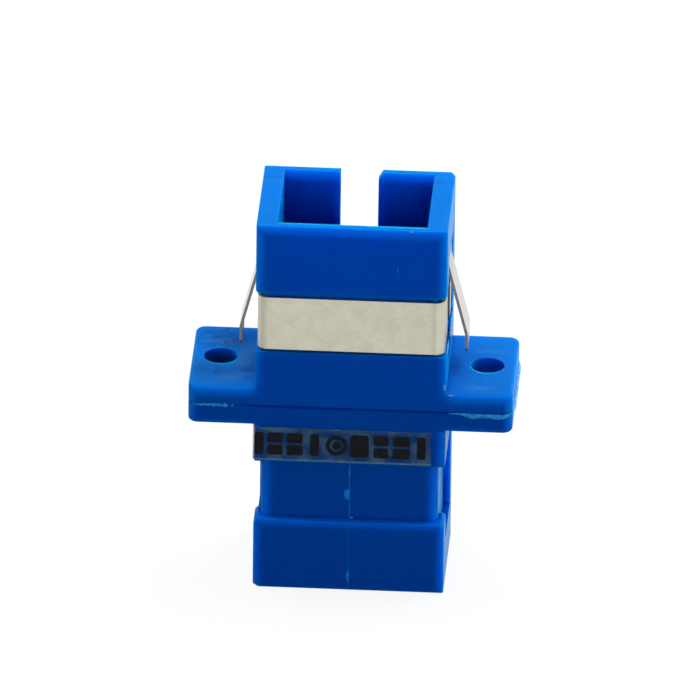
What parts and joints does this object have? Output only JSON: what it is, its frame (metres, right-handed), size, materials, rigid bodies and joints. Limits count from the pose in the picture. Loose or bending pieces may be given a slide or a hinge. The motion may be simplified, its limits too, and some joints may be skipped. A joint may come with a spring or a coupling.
{
  "type": "sc bulkhead attenuator",
  "caption": "Blue moulded fibre-optic bulkhead attenuator with a plug port at each end, a screw flange at mid length, a folded spring clip for a panel cut-out and a film label.",
  "frame": {"origin": "centre of the lower port's rim, on the surface that the part stands on", "axes": "+Z along the optical axis towards the port beside the clip, +X along the flange, -Y the face with the clip's bridge and the label, +Y the side with the key slots"},
  "size_m": [0.022, 0.0093, 0.0272],
  "materials": {
    "housing_plastic": "moulded, slightly translucent, satin",
    "latch_plastic": "moulded, satin",
    "clip_steel": "rolled spring steel, fine grain along the strip",
    "label_film": "clear film with dark print",
    "sleeve_ceramic": "ground and polished",
    "washer_steel": "stamped"
  },
  "bodies": {
    "root": {"upper_housing": "housing_plastic", "lower_housing": "housing_plastic", "upper_latch": "latch_plastic", "lower_latch": "latch_plastic", "panel_clip": "clip_steel", "rating_label": "label_film", "alignment_sleeve": "sleeve_ceramic", "gap_spacer": "washer_steel"}
  },
  "joints": []
}
